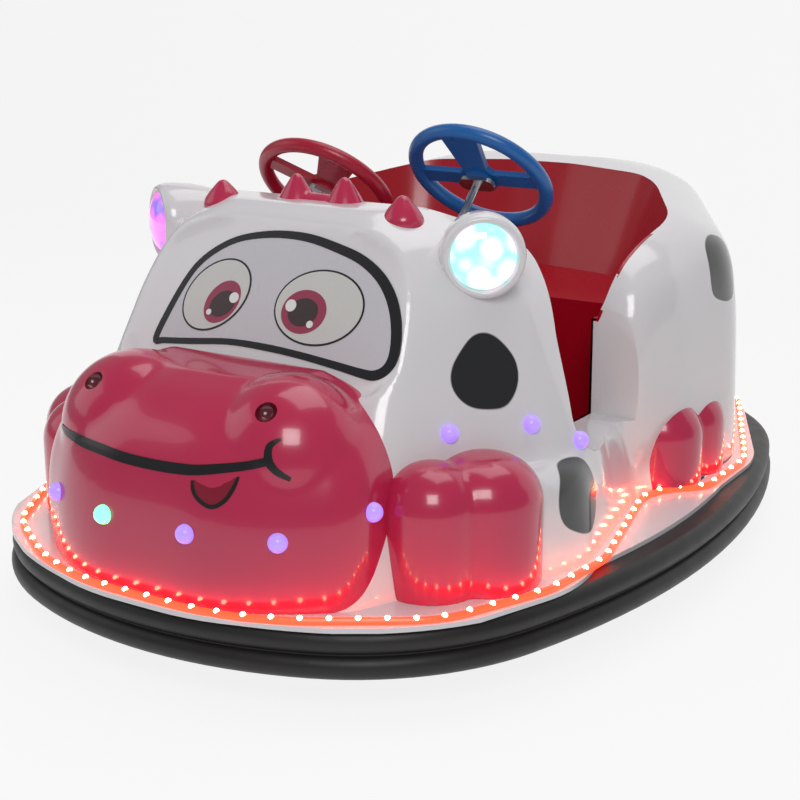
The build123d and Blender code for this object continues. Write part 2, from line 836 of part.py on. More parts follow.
# ---- batteries and pedal ---------------------------------------------------
battery_width = 170
battery_length = 180
battery_height = 165
battery_x = 95
battery_y = 240
tray_thickness = 4
with BuildPart() as battery_tray:
    with BuildSketch(Plane.XY.offset(chassis_top)):
        with Locations((0, battery_y)):
            Rectangle(2 * rail_centre_x + tube, battery_length + 20)
    extrude(amount=tray_thickness)
battery_tray.part.label = "battery_tray"
export_step(battery_tray.part, "parts/battery_tray.step")
with BuildPart() as battery_pair:
    with BuildSketch(Plane.XY.offset(chassis_top + tray_thickness)):
        with Locations((battery_x, battery_y), (-battery_x, battery_y)):
            RectangleRounded(battery_width, battery_length, 6)
    extrude(amount=battery_height)
battery_pair.part.label = "battery_pair"
export_step(battery_pair.part, "parts/battery_pair.step")

pedal_x = 60
pedal_y = -262
with BuildPart() as foot_pedal:
    with BuildSketch(Plane.XY.offset(floor_level)):
        with Locations((pedal_x, pedal_y)):
            RectangleRounded(90, 60, 8)
    extrude(amount=5)
    with BuildSketch(Plane.YZ.offset(pedal_x - 38)):
        with BuildLine():
            Polyline(
                (pedal_y + 26, floor_level + 4),
                (pedal_y + 26, floor_level + 10),
                (pedal_y - 26, floor_level + 40),
                (pedal_y - 26, floor_level + 4),
                close=True,
            )
        make_face()
    extrude(amount=76)
foot_pedal.part.label = "foot_pedal"
export_step(foot_pedal.part, "parts/foot_pedal.step")

# ---- light strip and point lamps -------------------------------------------
strip_step = 5
with BuildPart() as light_strip:
    with BuildSketch(Plane.XY.offset(deck_top)):
        add(rounded(body_foot))
        offset(amount=strip_step, mode=Mode.REPLACE)
        with BuildSketch(mode=Mode.PRIVATE) as inner_line:
            add(rounded(body_foot))
            offset(amount=-strip_step, mode=Mode.REPLACE)
        add(inner_line.sketch, mode=Mode.SUBTRACT)
    extrude(amount=2 * strip_radius)
    for form in (muzzle_form.part, head_form.part, sill_form.part, tail_form.part):
        add(form, mode=Mode.SUBTRACT)
    for hoof in hooves.values():
        add(hoof, mode=Mode.SUBTRACT)
print("strip", light_strip.part.is_valid, [round(v.volume) for v in light_strip.solids()])
light_strip.part.label = "light_strip"
export_step(light_strip.part, "parts/light_strip.step")

# Small domes stood on the body's skin: x, y, z of each on the +X side.
dome_places = ((78, -793, 256), (221, -758, 260), (299, -640, 262))
with BuildPart() as point_lamps:
    with Locations(*[(side * x, y, z) for x, y, z in dome_places for name, side in SIDES]):
        Sphere(dome_radius)
    for form in (muzzle_form.part, head_form.part, tail_form.part):
        add(form, mode=Mode.SUBTRACT)
print("domes", point_lamps.part.is_valid, [round(v.volume) for v in point_lamps.solids()])
point_lamps.part.label = "point_lamps"
export_step(point_lamps.part, "parts/point_lamps.step")
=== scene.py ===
"""Looks of the two-seat battery bumper car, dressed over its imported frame.

Metres, in the frame's own axes: the car faces -Y and its left is +X.
"""
import json
import math

import bmesh
import bpy
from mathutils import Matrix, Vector
from mathutils.bvhtree import BVHTree


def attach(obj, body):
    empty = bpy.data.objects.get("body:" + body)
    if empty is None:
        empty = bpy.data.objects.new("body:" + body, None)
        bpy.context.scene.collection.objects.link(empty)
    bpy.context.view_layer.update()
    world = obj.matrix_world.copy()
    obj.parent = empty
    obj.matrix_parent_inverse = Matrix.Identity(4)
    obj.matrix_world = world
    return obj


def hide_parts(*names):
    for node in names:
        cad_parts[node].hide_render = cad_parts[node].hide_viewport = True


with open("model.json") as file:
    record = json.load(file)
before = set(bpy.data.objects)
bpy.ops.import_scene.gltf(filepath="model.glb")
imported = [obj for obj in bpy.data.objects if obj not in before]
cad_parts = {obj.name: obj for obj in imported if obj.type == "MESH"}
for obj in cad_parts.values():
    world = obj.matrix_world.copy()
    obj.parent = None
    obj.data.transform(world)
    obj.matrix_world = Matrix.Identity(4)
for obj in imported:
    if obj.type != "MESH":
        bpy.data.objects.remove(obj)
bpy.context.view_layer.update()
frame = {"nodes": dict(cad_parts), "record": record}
nodes = frame["nodes"]

# ---- Studio -----------------------------------------------------------------
# Pale floor that curves up behind the car, three soft lamps and a plain grey
# world. The camera stands at the car's front left, a little over a metre up.
EYE = Vector((1.463, -2.418, 1.048))
AIM = Vector((-0.284, 0.369, 0.129))
LENS_MM = 69.6
SWEEP_START = 2.6
SWEEP_RADIUS = 1.2
SWEEP_STEPS = 12
WALL_TOP = 5.0
FLOOR_HALF = 6.0
FLOOR_GREY = 0.86
WHITE_SHARE = 0.86
WORLD_STRENGTH = 0.30
LAMP_AIM = Vector((0, 0, 0.4))

camera = bpy.data.objects.new("camera", bpy.data.cameras.new("camera"))
bpy.context.scene.collection.objects.link(camera)
camera.location = EYE
camera.rotation_mode = "QUATERNION"
camera.rotation_quaternion = (AIM - EYE).to_track_quat("-Z", "Y")
camera.data.lens = LENS_MM
camera.data.sensor_width = 36.0
camera.data.clip_end = 50.0
bpy.context.scene.camera = camera
bpy.context.scene.view_settings.view_transform = "Standard"


def new_material(name):
    """A material with nodes; returns it with its tree and its Principled shader."""
    material = bpy.data.materials.new(name)
    material.use_nodes = True
    tree = material.node_tree
    return material, tree, tree.nodes["Principled BSDF"]


def link_object(name, mesh):
    """An object of a mesh, in the scene."""
    made = bpy.data.objects.new(name, mesh)
    bpy.context.scene.collection.objects.link(made)
    return made


def linked(name, made):
    """An object of a bmesh, which is then freed."""
    mesh = bpy.data.meshes.new(name)
    made.to_mesh(mesh)
    made.free()
    return link_object(name, mesh)


floor_mesh = bmesh.new()
grid_lines = [(-FLOOR_HALF, 0.0), (SWEEP_START, 0.0)]
for step in range(1, SWEEP_STEPS + 1):
    angle = math.radians(90 * step / SWEEP_STEPS)
    level = SWEEP_RADIUS - SWEEP_RADIUS * math.cos(angle)
    grid_lines.append((SWEEP_START + SWEEP_RADIUS * math.sin(angle), level))
grid_lines.append((SWEEP_START + SWEEP_RADIUS, WALL_TOP))
rows = [[floor_mesh.verts.new((x, y, z)) for x in (-FLOOR_HALF, FLOOR_HALF)] for y, z in grid_lines]
for near, far in zip(rows, rows[1:]):
    floor_mesh.faces.new((near[0], near[1], far[1], far[0]))
sweep = linked("studio_sweep", floor_mesh)
for polygon in sweep.data.polygons:
    polygon.use_smooth = True
sweep_paint, tree, shader = new_material("studio_sweep")
shader.inputs["Base Color"].default_value = (FLOOR_GREY, FLOOR_GREY, FLOOR_GREY, 1)
shader.inputs["Roughness"].default_value = 0.8
shader.inputs["Specular IOR Level"].default_value = 0.1
path = tree.nodes.new("ShaderNodeLightPath")
seen = tree.nodes.new("ShaderNodeMath")
seen.operation = "MAXIMUM"
tree.links.new(path.outputs["Is Camera Ray"], seen.inputs[0])
tree.links.new(path.outputs["Is Glossy Ray"], seen.inputs[1])
whiten = tree.nodes.new("ShaderNodeMath")
whiten.operation = "MULTIPLY"
whiten.inputs[1].default_value = WHITE_SHARE
tree.links.new(seen.outputs[0], whiten.inputs[0])
plain_white = tree.nodes.new("ShaderNodeEmission")
mixed = tree.nodes.new("ShaderNodeMixShader")
tree.links.new(whiten.outputs[0], mixed.inputs[0])
tree.links.new(shader.outputs[0], mixed.inputs[1])
tree.links.new(plain_white.outputs[0], mixed.inputs[2])
tree.links.new(mixed.outputs[0], tree.nodes["Material Output"].inputs["Surface"])
sweep.data.materials.append(sweep_paint)

world = bpy.data.worlds.new("studio")
bpy.context.scene.world = world
world.use_nodes = True
world.node_tree.nodes["Background"].inputs["Color"].default_value = (0.86, 0.87, 0.9, 1)
world.node_tree.nodes["Background"].inputs["Strength"].default_value = WORLD_STRENGTH

SOFT_LAMPS = (
    # name, place, size, watts
    ("key", (2.0, -3.0, 3.0), 1.6, 56),
    ("fill", (-3.2, -1.8, 2.2), 2.6, 16),
    ("top", (0.2, 0.8, 3.6), 2.4, 34),
)
for name, place, size, watts in SOFT_LAMPS:
    lamp = bpy.data.lights.new(name, "AREA")
    lamp.energy = watts
    lamp.size = size
    holder = bpy.data.objects.new(name, lamp)
    bpy.context.scene.collection.objects.link(holder)
    holder.location = place
    holder.rotation_mode = "QUATERNION"
    holder.rotation_quaternion = (LAMP_AIM - Vector(place)).to_track_quat("-Z", "Y")


# ---- Moulded body and tub ------------------------------------------------------
# The white shell is one glass-fibre moulding under a gel coat: head, sills and
# tail flow into each other. The red tub is a second moulding, bonded in at the rim.
MM = 0.001
RING_POINTS = 128
BODY_VOXEL = 0.0085
SHELL_WALL = 0.005
SHELL_FOOT = 0.129
SHARP_EDGE = math.radians(42)
FACE_LEAN = math.radians(28)
PANEL_CUT = 0.1
PANEL_FOOT = Vector((0, -0.5263, 0.4546))
PANEL_UP = Vector((0, math.sin(FACE_LEAN), math.cos(FACE_LEAN)))
PANEL_OUT = Vector((0, -math.cos(FACE_LEAN), math.sin(FACE_LEAN)))


def filleted(corners, closed_from=None):
    """Closed outline through (x, y, radius) corners, each rounded off by its radius."""
    path = [Vector(closed_from)] if closed_from else []
    for index, (x, y, radius) in enumerate(corners):
        here = Vector((x, y))
        before = (Vector(corners[index - 1][:2]) - here).normalized()
        after = (Vector(corners[(index + 1) % len(corners)][:2]) - here).normalized()
        half = math.acos(max(-1.0, min(1.0, before.dot(after)))) / 2
        if radius <= 0 or half > 1.55:
            path.append(here)
            continue
        reach = radius / math.tan(half)
        centre = here + (before + after).normalized() * (radius / math.sin(half))
        first = here + before * reach - centre
        last = here + after * reach - centre
        for step in range(9):
            path.append(centre + first.slerp(last, step / 8).normalized() * radius)
    return path


def even_ring(half_corners):
    """Evenly spaced points of an outline that is mirrored about the car's middle."""
    corners = list(half_corners) + [(-x, y, r) for x, y, r in reversed(half_corners)]
    path = filleted(corners, (0, half_corners[0][1]))
    path.append(path[0])
    lengths = [0.0]
    for near, far in zip(path, path[1:]):
        lengths.append(lengths[-1] + (far - near).length)
    ring, leg = [], 0
    for index in range(RING_POINTS):
        goal = lengths[-1] * index / RING_POINTS
        while lengths[leg + 1] < goal:
            leg += 1
        share = (goal - lengths[leg]) / max(1e-9, lengths[leg + 1] - lengths[leg])
        ring.append(path[leg].lerp(path[leg + 1], share))
    return ring


def lofted(name, heights, rings, steps=6):
    """Closed skin through rings of points that stand at rising heights."""
    slopes = []
    for index in range(len(rings)):
        low, high = max(0, index - 1), min(len(rings) - 1, index + 1)
        slopes.append([(b - a) / (heights[high] - heights[low]) for a, b in zip(rings[low], rings[high])])
    made = bmesh.new()
    loops = []
    for index in range(len(rings) - 1):
        rise = heights[index + 1] - heights[index]
        last = steps + 1 if index == len(rings) - 2 else steps
        for step in range(last):
            t = step / steps
            weights = (
                2 * t**3 - 3 * t**2 + 1,
                (t**3 - 2 * t**2 + t) * rise,
                -2 * t**3 + 3 * t**2,
                (t**3 - t**2) * rise,
            )
            loops.append([
                made.verts.new((a * weights[0] + m * weights[1] + b * weights[2] + n * weights[3]) * MM)
                for a, m, b, n in zip(rings[index], slopes[index], rings[index + 1], slopes[index + 1])
            ])
    count = len(rings[0])
    for low, high in zip(loops, loops[1:]):
        for index in range(count):
            after = (index + 1) % count
            made.faces.new((low[index], low[after], high[after], high[index]))
    made.faces.new(list(reversed(loops[0])))
    made.faces.new(loops[-1])
    bmesh.ops.recalc_face_normals(made, faces=made.faces)
    return linked(name, made)


def prism(name, outline, along, finish=0):
    """Closed bar: an outline of points in metres, carried along a vector."""
    made = bmesh.new()
    near = [made.verts.new(p - along / 2) for p in outline]
    far = [made.verts.new(p + along / 2) for p in outline]
    made.faces.new(near)
    made.faces.new(list(reversed(far)))
    for index in range(len(near)):
        after = (index + 1) % len(near)
        made.faces.new((near[index], far[index], far[after], near[after]))
    bmesh.ops.recalc_face_normals(made, faces=made.faces)
    bar = linked(name, made)
    for polygon in bar.data.polygons:
        polygon.material_index = finish
    return bar


def joined(name, parts):
    """One object of several closed skins, which may run into each other."""
    made = bmesh.new()
    for part in parts:
        made.from_mesh(part.data)
        bpy.data.objects.remove(part)
    return linked(name, made)


def baked(made):
    """Replaces an object's mesh by its evaluated one and drops its modifiers."""
    bpy.context.view_layer.update()
    graph = bpy.context.evaluated_depsgraph_get()
    mesh = bpy.data.meshes.new_from_object(made.evaluated_get(graph), depsgraph=graph)
    made.modifiers.clear()
    made.data = mesh
    for polygon in mesh.polygons:
        polygon.use_smooth = True
    return made


def melted(made, voxel, rounds, factor=0.5):
    """Fuses an object's skins and melts their edges together, as a mould leaves them."""
    remesh = made.modifiers.new("skin", "REMESH")
    remesh.mode = "VOXEL"
    remesh.voxel_size = voxel
    if rounds:
        smooth = made.modifiers.new("flow", "SMOOTH")
        smooth.factor = factor
        smooth.iterations = rounds
    return baked(made)


def carved(made, tool, operation="DIFFERENCE"):
    """Cuts one closed skin with another, which is then dropped."""
    cut = made.modifiers.new("cut", "BOOLEAN")
    cut.operation = operation
    cut.object = tool
    cut.solver = "EXACT"
    baked(made)
    bpy.data.objects.remove(tool)
    return made


def face_y(level):
    """Where the leaning face is at a level, in millimetres."""
    return -544 + (level - 464) * math.tan(FACE_LEAN)


HEAD_LEVELS = (
    # level, half width of the face, half width of the cheeks, y of the cheeks, crown's set-back
    (126, 286, 496, -262, 0),
    (300, 282, 470, -256, 0),
    (464, 263, 405, -256, 0),
    (560, 247, 362, -250, 0),
    (636, 212, 296, -250, 2),
    (681, 150, 226, -250, 40),
)
head_rings = []
for level, face_half, cheek_half, cheek_y, set_back in HEAD_LEVELS:
    front = face_y(level) + set_back
    ring = even_ring(((face_half, front, 70), (cheek_half, cheek_y, 170), (cheek_half - 25, -150, 0)))
    head_rings.append([Vector((p.x, p.y, level)) for p in ring])
head_form = lofted("head_form", [row[0] for row in HEAD_LEVELS], head_rings)

SILL_FOOT = (
    (300, -520, 60), (484, -440, 90), (508, -320, 150), (436, 30, 120), (500, 110, 50), (470, 200, 20),
)
SILL_LEVELS = ((126, -1), (205, 12), (262, 22), (292, 36), (302, 58))
sill_rings = []
for level, inset in SILL_LEVELS:
    ring = even_ring([(x - inset, y, r) for x, y, r in SILL_FOOT])
    sill_rings.append([Vector((p.x, p.y, level)) for p in ring])
sill_form = lofted("sill_form", [row[0] for row in SILL_LEVELS], sill_rings)

TAIL_SECTIONS = (
    # height, tilt, y of the front, half widths of front, waist and flank,
    # y of the flank, half width and y of the rear
    (126, 0, -30, 420, 432, 508, 314, 335, 746),
    (290, 4, -42, 440, 478, 505, 305, 325, 716),
    (420, 8.5, -36, 442, 480, 502, 295, 300, 684),
    (505, 11, -12, 430, 464, 488, 275, 262, 636),
    (545, 11.5, 20, 400, 430, 452, 230, 222, 585),
    (565, 11.7, 60, 370, 392, 408, 225, 186, 530),
)
tail_rings = []
for height, tilt, front, front_half, waist_half, flank_half, flank_y, rear_half, rear in TAIL_SECTIONS:
    lean = math.radians(tilt)
    ring = even_ring((
        (front_half, front, 50),
        (waist_half, max(90, front + 52), 90),
        (flank_half, max(flank_y, front + 110), 160),
        (rear_half, rear, 150),
    ))
    tail_rings.append([Vector((p.x, p.y * math.cos(lean), height + p.y * math.sin(lean))) for p in ring])
tail_form = lofted("tail_form", [row[0] for row in TAIL_SECTIONS], tail_rings)

body = joined("moulded_body", (head_form, sill_form, tail_form))
melted(body, BODY_VOXEL, 0)
PANEL_CORNERS = (
    (-250, -40, 52), (250, -40, 52), (292, 92, 80), (206, 204, 100),
    (86, 236, 180), (-86, 236, 180), (-206, 204, 100), (-292, 92, 80),
)
panel_outline = [
    PANEL_FOOT + Vector((p.x * MM, 0, 0)) + PANEL_UP * (p.y * MM) + PANEL_OUT * (PANEL_CUT / 2)
    for p in filleted(PANEL_CORNERS)
]
carved(body, prism("face_panel", panel_outline, PANEL_OUT * PANEL_CUT))
melted(body, BODY_VOXEL, 7)

body_paint, body_tree, body_shader = new_material("body_gel_coat")
tub_paint, tub_tree, tub_shader = new_material("tub_gel_coat")
body.data.materials.clear()
body.data.materials.append(body_paint)
body.data.materials.append(tub_paint)

WIDE = Vector((1.4, 0, 0))
UP = Vector((0, 0, 1))
ENTRY = (
    (-322, 900, 0), (-322, 684, 0), (-180, 604, 26), (-232, 480, 120),
    (-282, 292, 55), (-20, 292, 0), (-20, 900, 0),
)
entry_outline = [Vector((0, p.x * MM, p.y * MM)) for p in filleted(ENTRY)]
carved(body, prism("entry", entry_outline, WIDE))
FOOT_SIDE = (
    (-335, 134, 25), (98, 134, 25), (108, 520, 0), (-108, 520, 0),
    (-108, 460, 0), (-225, 455, 20), (-335, 372, 40),
)
FOOT_PLAN = ((335, -335, 60), (352, -60, 90), (352, 150, 0))
ROOM_LEVELS = (
    # level, half width of the front, waist half width and y, half width and y of the back rest, middle's y
    (462, 362, 362, 170, 232, 356, 392),
    (500, 374, 376, 200, 238, 370, 406),
    (580, 386, 388, 215, 254, 402, 438),
    (680, 394, 402, 230, 274, 438, 474),
    (900, 398, 410, 240, 290, 476, 530),
)
foot_room = prism("foot_room", [Vector((0, p.x * MM, p.y * MM)) for p in filleted(FOOT_SIDE)], WIDE, 1)
plan_corners = list(FOOT_PLAN) + [(-x, y, r) for x, y, r in reversed(FOOT_PLAN)]
foot_plan = prism("foot_plan", [Vector((p.x * MM, p.y * MM, 0.5)) for p in filleted(plan_corners)], UP, 1)
carved(foot_room, foot_plan, "INTERSECT")
room_rings = []
for level, front_half, waist_half, waist_y, back_half, back_y, middle_y in ROOM_LEVELS:
    ring = even_ring((
        (front_half, -120, 0), (waist_half, waist_y, 170), (back_half, back_y, 150), (70, middle_y, 200),
    ))
    room_rings.append([Vector((p.x, p.y, level)) for p in ring])
seat_room = lofted("seat_room", [row[0] for row in ROOM_LEVELS], room_rings)
carved(foot_room, seat_room, "UNION")
foot_room.data.materials.clear()
foot_room.data.materials.append(body_paint)
foot_room.data.materials.append(tub_paint)
for polygon in foot_room.data.polygons:
    polygon.material_index = 1
carved(body, foot_room)


def walled(name, source, keep, thick):
    """Takes the faces of one finish out of a carved body and gives them a wall."""
    made = bmesh.new()
    made.from_mesh(source.data)
    bmesh.ops.delete(made, geom=[f for f in made.faces if f.material_index != keep], context="FACES")
    everything = made.verts[:] + made.edges[:] + made.faces[:]
    foot = (0, 0, SHELL_FOOT)
    bmesh.ops.bisect_plane(made, geom=everything, plane_co=foot, plane_no=UP, clear_inner=True)
    for face in made.faces:
        face.material_index = 0
    part = linked(name, made)
    part.data.materials.append(source.data.materials[keep])
    wall = part.modifiers.new("wall", "SOLIDIFY")
    wall.thickness = thick
    wall.offset = -1
    baked(part)
    part.data.set_sharp_from_angle(angle=SHARP_EDGE)
    return part


shell = walled("body_moulding", body, 0, SHELL_WALL)
tub = walled("tub_moulding", body, 1, SHELL_WALL)
bpy.data.objects.remove(body)

# Gel coat: a deep gloss with a faint ripple, and sprayed black spots on the white.
ripple = bpy.data.node_groups.new("moulded_ripple", "ShaderNodeTree")
for label, start in (("Scale", 9.0), ("Rough Low", 0.12), ("Rough High", 0.24)):
    socket = ripple.interface.new_socket(name=label, in_out="INPUT", socket_type="NodeSocketFloat")
    socket.default_value = start
ripple.interface.new_socket(name="Roughness", in_out="OUTPUT", socket_type="NodeSocketFloat")
ripple.interface.new_socket(name="Height", in_out="OUTPUT", socket_type="NodeSocketFloat")
inlet = ripple.nodes.new("NodeGroupInput")
outlet = ripple.nodes.new("NodeGroupOutput")
place = ripple.nodes.new("ShaderNodeTexCoord")
waves = ripple.nodes.new("ShaderNodeTexNoise")
waves.inputs["Detail"].default_value = 3.0
spread = ripple.nodes.new("ShaderNodeMapRange")
ripple.links.new(place.outputs["Object"], waves.inputs["Vector"])
ripple.links.new(inlet.outputs["Scale"], waves.inputs["Scale"])
ripple.links.new(waves.outputs["Fac"], spread.inputs["Value"])
ripple.links.new(inlet.outputs["Rough Low"], spread.inputs["To Min"])
ripple.links.new(inlet.outputs["Rough High"], spread.inputs["To Max"])
ripple.links.new(spread.outputs["Result"], outlet.inputs["Roughness"])
ripple.links.new(waves.outputs["Fac"], outlet.inputs["Height"])


def surface(tree, shader, scale, low, high, depth=0.0):
    """Gives a material its uneven gloss and, if depth is set, a matching low relief."""
    grain = tree.nodes.new("ShaderNodeGroup")
    grain.node_tree = ripple
    grain.inputs["Scale"].default_value = scale
    grain.inputs["Rough Low"].default_value = low
    grain.inputs["Rough High"].default_value = high
    tree.links.new(grain.outputs["Roughness"], shader.inputs["Roughness"])
    if depth:
        bump = tree.nodes.new("ShaderNodeBump")
        bump.inputs["Distance"].default_value = depth
        bump.inputs["Strength"].default_value = 0.6
        tree.links.new(grain.outputs["Height"], bump.inputs["Height"])
        tree.links.new(bump.outputs["Normal"], shader.inputs["Normal"])
    return grain


def distance_mask(tree, position, centre, radius, soft):
    """1 inside a round patch about a place, 0 outside it."""
    reach = tree.nodes.new("ShaderNodeVectorMath")
    reach.operation = "DISTANCE"
    reach.inputs[1].default_value = centre
    tree.links.new(position, reach.inputs[0])
    edge = tree.nodes.new("ShaderNodeMapRange")
    edge.inputs["From Min"].default_value = radius - soft
    edge.inputs["From Max"].default_value = radius + soft
    edge.inputs["To Min"].default_value = 1.0
    edge.inputs["To Max"].default_value = 0.0
    tree.links.new(reach.outputs["Value"], edge.inputs["Value"])
    return edge.outputs["Result"]


def patched(tree, shader, base, patch_colour, patches, soft, wobble=0.0):
    """Paints round patches over a base colour."""
    where = tree.nodes.new("ShaderNodeTexCoord").outputs["Object"]
    if wobble:
        bend = tree.nodes.new("ShaderNodeTexNoise")
        bend.inputs["Scale"].default_value = 11.0
        bend.inputs["Detail"].default_value = 0.0
        tree.links.new(where, bend.inputs["Vector"])
        centred = tree.nodes.new("ShaderNodeVectorMath")
        centred.operation = "SUBTRACT"
        centred.inputs[1].default_value = (0.5, 0.5, 0.5)
        tree.links.new(bend.outputs["Color"], centred.inputs[0])
        pushed = tree.nodes.new("ShaderNodeVectorMath")
        pushed.operation = "MULTIPLY_ADD"
        pushed.inputs[1].default_value = (wobble, wobble, wobble)
        tree.links.new(centred.outputs["Vector"], pushed.inputs[0])
        tree.links.new(where, pushed.inputs[2])
        where = pushed.outputs["Vector"]
    total = None
    for centre, radius in patches:
        mask = distance_mask(tree, where, centre, radius, soft)
        if total is None:
            total = mask
            continue
        most = tree.nodes.new("ShaderNodeMath")
        most.operation = "MAXIMUM"
        tree.links.new(total, most.inputs[0])
        tree.links.new(mask, most.inputs[1])
        total = most.outputs[0]
    mix = tree.nodes.new("ShaderNodeMix")
    mix.data_type = "RGBA"
    mix.inputs["A"].default_value = (*base, 1)
    mix.inputs["B"].default_value = (*patch_colour, 1)
    tree.links.new(total, mix.inputs["Factor"])
    tree.links.new(mix.outputs["Result"], shader.inputs["Base Color"])


SPOTS = (
    ((0.346, -0.392, 0.447), 0.061), ((0.480, -0.318, 0.252), 0.062), ((0.497, 0.245, 0.525), 0.062),
    ((-0.346, -0.392, 0.447), 0.061), ((-0.480, -0.318, 0.252), 0.062), ((-0.497, 0.245, 0.525), 0.062),
    ((0.400, 0.560, 0.400), 0.070), ((-0.180, 0.690, 0.430), 0.075), ((0.060, 0.720, 0.260), 0.055),
    ((-0.440, 0.470, 0.260), 0.060),
)
patched(body_tree, body_shader, (0.80, 0.775, 0.79), (0.012, 0.012, 0.014), SPOTS, 0.0012, 0.03)
surface(body_tree, body_shader, 7.0, 0.14, 0.22)
body_shader.inputs["Coat Weight"].default_value = 0.5
body_shader.inputs["Coat Roughness"].default_value = 0.05
tub_shader.inputs["Base Color"].default_value = (0.42, 0.002, 0.014, 1)
surface(tub_tree, tub_shader, 6.0, 0.2, 0.34)
tub_shader.inputs["Coat Weight"].default_value = 0.15
tub_shader.inputs["Coat Roughness"].default_value = 0.08
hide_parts("body_shell")
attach(shell, "root")
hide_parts("cockpit_tub")
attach(tub, "root")

# ---- Muzzle ---------------------------------------------------------------------
# The muzzle is a pink moulding screwed to the head from inside, with two low
# mounds that carry the nostrils; their pits are filled with painted shade, a dark pink.
MUZZLE_LEVELS = (
    # level, half width and y of the front, half width of the side, y of the corner, both radii
    (140, 150, -800, 303, -692, 280, 100),
    (200, 150, -801, 307, -692, 280, 100),
    (262, 148, -797, 308, -690, 270, 100),
    (312, 144, -788, 302, -682, 260, 100),
    (360, 134, -773, 284, -666, 240, 95),
    (402, 118, -742, 254, -640, 210, 90),
    (436, 96, -694, 208, -606, 150, 70),
    (456, 72, -642, 150, -580, 90, 40),
)
MOUND = Vector((0.149, -0.630, 0.345))
MOUND_RADIUS = 0.123
PIT_LOOK = Vector((0.14, -0.67, 0.73)).normalized()
PIT_RADIUS = 0.017
PIT_EDGE = math.radians(50)
PINK = (0.56, 0.020, 0.082)
# painted shade: a darkened copy of the pink, laid inside the nostril pits
PIT_SHADE = (0.10, 0.002, 0.012)
MUZZLE_FOOT = 0.1425
MUZZLE_BACK = -0.541


def ball(name, centre, radius, segments=48):
    """A closed ball."""
    made = bmesh.new()
    bmesh.ops.create_uvsphere(made, u_segments=segments, v_segments=segments // 2, radius=radius)
    bmesh.ops.translate(made, verts=made.verts, vec=centre)
    return linked(name, made)


muzzle_rings = []
for level, front_half, front, side_half, corner_y, front_radius, side_radius in MUZZLE_LEVELS:
    ring = even_ring((
        (front_half, front, front_radius), (side_half, corner_y, side_radius), (side_half, -530, 0),
    ))
    muzzle_rings.append([Vector((p.x, p.y, level)) for p in ring])
muzzle_parts = [lofted("muzzle_form", [row[0] for row in MUZZLE_LEVELS], muzzle_rings)]
for side in (1, -1):
    muzzle_parts.append(ball("mound", Vector((side * MOUND.x, MOUND.y, MOUND.z)), MOUND_RADIUS))
muzzle = melted(joined("muzzle_moulding", muzzle_parts), 0.006, 14)
pits = []
for side in (1, -1):
    look = Vector((side * PIT_LOOK.x, PIT_LOOK.y, PIT_LOOK.z))
    pits.append(Vector((side * MOUND.x, MOUND.y, MOUND.z)) + look * (MOUND_RADIUS + 0.002))
    carved(muzzle, ball("pit", pits[-1], PIT_RADIUS, 24))
muzzle_skin = BVHTree.FromObject(muzzle, bpy.context.evaluated_depsgraph_get())
hollow = bmesh.new()
hollow.from_mesh(muzzle.data)
for place, out in ((Vector((0, 0, MUZZLE_FOOT)), UP), (Vector((0, MUZZLE_BACK, 0)), Vector((0, -1, 0)))):
    everything = hollow.verts[:] + hollow.edges[:] + hollow.faces[:]
    bmesh.ops.bisect_plane(hollow, geom=everything, plane_co=place, plane_no=out, clear_inner=True)
hollow.to_mesh(muzzle.data)
hollow.free()
wall = muzzle.modifiers.new("wall", "SOLIDIFY")
wall.thickness = SHELL_WALL
wall.offset = -1
baked(muzzle)
muzzle.data.set_sharp_from_angle(angle=PIT_EDGE)
pink_paint, tree, shader = new_material("pink_gel_coat")
# the nostril pits get the dark pink as painted shade
patched(tree, shader, PINK, PIT_SHADE, [(pit, PIT_RADIUS * 1.02) for pit in pits], 0.0006)
surface(tree, shader, 8.0, 0.16, 0.3)
shader.inputs["Coat Weight"].default_value = 0.5
shader.inputs["Coat Roughness"].default_value = 0.06
muzzle.data.materials.clear()
muzzle.data.materials.append(pink_paint)
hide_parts("muzzle")
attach(muzzle, "root")

# ---- Feet -----------------------------------------------------------------------
# Each foot is a pink moulding with two toes that meet in a crease. It is
# fixed to the deck from below.
SOLE = 0.141
FEET = (
    # name, x, y and radius of each toe, level of the crown, crown's rounding
    ("front", ((343, -543, 78), (390, -468, 92)), 342, 72),
    ("rear", ((434, 118, 76), (432, 222, 80)), 300, 70),
)


def turned(name, origin, axis, profile, segments=64):
    """Closed body turned about an axis, from (radius, height) points; both ends lie on the axis."""
    made = bmesh.new()
    turn = axis.to_track_quat("Z", "Y")
    loops = []
    for radius, height in profile:
        if radius < 1e-7:
            loops.append([made.verts.new(origin + turn @ Vector((0, 0, height)))])
            continue
        angles = [2 * math.pi * k / segments for k in range(segments)]
        loops.append([
            made.verts.new(origin + turn @ Vector((radius * math.cos(a), radius * math.sin(a), height)))
            for a in angles
        ])
    for low, high in zip(loops, loops[1:]):
        for k in range(segments):
            after = (k + 1) % segments
            corners = [low[k % len(low)], low[after % len(low)], high[after % len(high)], high[k % len(high)]]
            corners = [v for i, v in enumerate(corners) if v not in corners[:i]]
            if len(corners) > 2:
                made.faces.new(corners)
    bmesh.ops.recalc_face_normals(made, faces=made.faces)
    part = linked(name, made)
    for polygon in part.data.polygons:
        polygon.use_smooth = True
    return part


